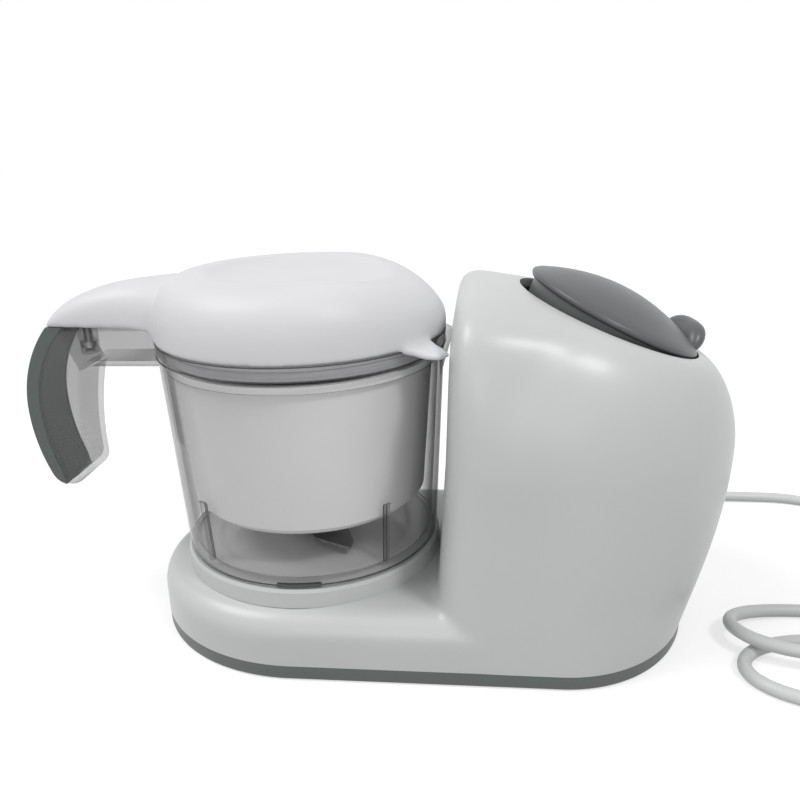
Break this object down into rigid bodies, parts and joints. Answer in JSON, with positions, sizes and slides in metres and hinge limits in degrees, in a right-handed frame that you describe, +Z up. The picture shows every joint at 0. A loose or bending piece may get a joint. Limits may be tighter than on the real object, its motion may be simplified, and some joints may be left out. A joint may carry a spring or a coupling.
{
  "type": "baby food processor",
  "caption": "Countertop baby food processor with a motor foot, a steam tower with a sloping tank cap, and a clear jug with handle, lid, steam basket and blade.",
  "frame": {"origin": "middle of the object's footprint on the table, without the cord", "axes": "+X from the jug's handle toward the tower, +Y toward the control side, +Z up"},
  "size_m": [0.4977, 0.2136, 0.176],
  "materials": {
    "white_shell": "satin",
    "lid_white": "satin",
    "clear_jug": "polished",
    "gray_trim": "matte",
    "dark_plastic": "matte",
    "rubber_black": "matte",
    "seal_rubber": "matte",
    "seal_red": "matte",
    "steel": "brushed",
    "motor_steel": "satin",
    "brass": "satin",
    "alloy": "cast",
    "board_green": "satin",
    "lens_amber": "polished",
    "cord_white": "satin"
  },
  "bodies": {
    "base": {"housing_shell": "white_shell", "base_plate": "gray_trim", "foot_pads": "rubber_black", "base_screws": "steel", "bowl_seat": "white_shell", "spindle_bush": "brass", "motor_body": "motor_steel", "motor_bracket": "gray_trim", "drive_belt": "rubber_black", "boiler": "steel", "boiler_heater": "alloy", "thermostat": "dark_plastic", "filler_well": "dark_plastic", "steam_tube": "steel", "steam_nozzle": "white_shell", "switch_body": "dark_plastic", "knob_bezel": "gray_trim", "indicator_lens": "lens_amber", "control_board": "board_green", "safety_switch": "dark_plastic", "cord_gland": "cord_white", "power_cord": "cord_white", "cord_coil": "cord_white", "cord_plug": "cord_white", "plug_pins": "steel"},
    "motor_rotor": {"motor_shaft": "steel", "motor_pulley": "dark_plastic"},
    "spindle_set": {"spindle": "steel", "driven_pulley": "dark_plastic", "drive_coupling": "dark_plastic"},
    "jug_body": {"jug": "clear_jug", "jug_bush": "dark_plastic", "handle_cover": "gray_trim", "handle_screw": "steel"},
    "blade_set": {"blade_shaft": "steel", "blade_hub": "gray_trim", "blade": "steel"},
    "lid_body": {"lid": "lid_white", "lid_seal": "seal_rubber"},
    "basket": {"steam_basket": "lid_white"},
    "cap_ring": {"cap_seal": "seal_red"},
    "cap": {"tank_cap": "gray_trim", "cap_plug": "white_shell"},
    "knob": {"control_knob": "white_shell", "knob_shaft": "steel"}
  },
  "joints": [
    {"name": "jug_lift", "type": "slide", "parent": "base", "child": "jug_body", "axis": [0, 0, 1], "range_m": [0, 0.14]},
    {"name": "lid_lift", "type": "slide", "parent": "jug_body", "child": "lid_body", "axis": [0, 0, 1], "range_m": [0, 0.18]},
    {"name": "basket_lift", "type": "slide", "parent": "jug_body", "child": "basket", "axis": [0, 0, 1], "range_m": [0, 0.09]},
    {"name": "spindle_spin", "type": "hinge", "parent": "base", "child": "spindle_set", "pos_m": [-0.03225, -0.0075, 0.02], "axis": [0, 0, 1], "continuous": true},
    {"name": "motor_spin", "type": "hinge", "parent": "base", "child": "motor_rotor", "pos_m": [0.10275, -0.0075, 0.02], "axis": [0, 0, 1], "continuous": true},
    {"name": "blade_spin", "type": "hinge", "parent": "jug_body", "child": "blade_set", "pos_m": [-0.03225, -0.0075, 0.05], "axis": [0, 0, 1], "continuous": true},
    {"name": "cap_lift", "type": "slide", "parent": "base", "child": "cap_ring", "axis": [0.3746, 0, 0.9272], "range_m": [0, 0.07]},
    {"name": "cap_turn", "type": "hinge", "parent": "cap_ring", "child": "cap", "pos_m": [0.11105, -0.0075, 0.1506], "axis": [0.3746, 0, 0.9272], "range_deg": [0, 90]},
    {"name": "knob_turn", "type": "hinge", "parent": "base", "child": "knob", "pos_m": [0.07275, 0.0655, 0.062], "axis": [0, 1, 0], "range_deg": [-90, 90]}
  ],
  "couplings": [
    {"joint": "basket_lift", "follows": "lid_lift", "ratio": 0.5},
    {"joint": "spindle_spin", "follows": "blade_spin", "ratio": 1},
    {"joint": "motor_spin", "follows": "blade_spin", "ratio": 2.5}
  ]
}
